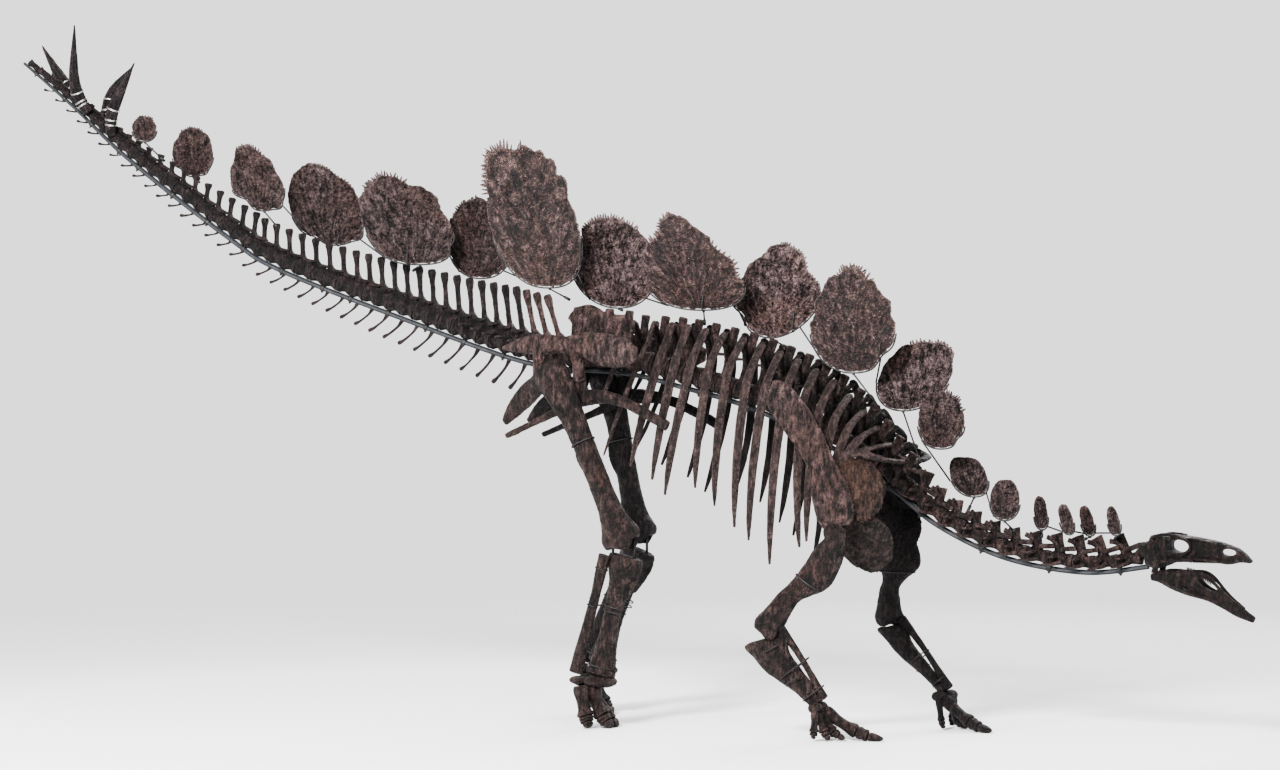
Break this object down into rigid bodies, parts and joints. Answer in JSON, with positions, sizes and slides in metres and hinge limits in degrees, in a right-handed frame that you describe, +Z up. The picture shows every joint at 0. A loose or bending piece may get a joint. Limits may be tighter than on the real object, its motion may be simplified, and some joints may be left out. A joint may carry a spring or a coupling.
{
  "type": "mounted stegosaurus skeleton",
  "caption": "Life-size mounted skeleton of a plated dinosaur standing on its own feet, with back plates, tail spikes and a steel mount below the spine.",
  "frame": {"origin": "middle of the skeleton's box on the floor", "axes": "+X along the body towards the head, +Z up, -Y is the animal's right side, which is the near side in the picture"},
  "size_m": [5.5974, 0.7836, 2.9426],
  "materials": {
    "bone_dark": "satin dark mineralised bone",
    "bone_brown": "satin brown mineralised bone",
    "plate_bone": "rough, partly glossy plate bone",
    "rod_steel": "dark steel",
    "wire_black": "black"
  },
  "bodies": {
    "root": {"spine_rod": "rod_steel", "tail_tip": "bone_dark", "tail_middle": "bone_dark", "tail_base": "bone_dark", "neck": "bone_dark", "lower_jaw": "bone_dark", "tail_spike_rear_right": "bone_dark", "tail_spike_rear_left": "bone_dark", "tail_spike_front_right": "bone_dark", "tail_spike_front_left": "bone_dark", "skull": "bone_brown", "sacrum": "bone_brown", "rib_cage_right": "bone_dark", "sternal_plate_right": "bone_dark", "humerus_right": "bone_dark", "forearm_right": "bone_dark", "hand_right": "bone_dark", "pubis_right": "bone_dark", "ischium_right": "bone_dark", "femur_right": "bone_dark", "shin_right": "bone_dark", "foot_right": "bone_dark", "scapula_right": "bone_brown", "ilium_right": "bone_brown", "rib_cage_left": "bone_dark", "sternal_plate_left": "bone_dark", "humerus_left": "bone_dark", "forearm_left": "bone_dark", "hand_left": "bone_dark", "pubis_left": "bone_dark", "ischium_left": "bone_dark", "femur_left": "bone_dark", "shin_left": "bone_dark", "foot_left": "bone_dark", "scapula_left": "bone_brown", "ilium_left": "bone_brown", "plate_wires_tail_tip": "wire_black", "plate_wires_tail": "wire_black", "plate_wires_back": "wire_black", "plate_wires_neck": "wire_black", "plate_01": "plate_bone", "plate_02": "plate_bone", "plate_03": "plate_bone", "plate_04": "plate_bone", "plate_05": "plate_bone", "plate_06": "plate_bone", "plate_07": "plate_bone", "plate_08": "plate_bone", "plate_09": "plate_bone", "plate_10": "plate_bone", "plate_11": "plate_bone", "plate_12": "plate_bone", "plate_13": "plate_bone", "plate_14": "plate_bone", "plate_15": "plate_bone", "plate_16": "plate_bone", "plate_17": "plate_bone", "plate_18": "plate_bone", "plate_19": "plate_bone"}
  },
  "joints": []
}
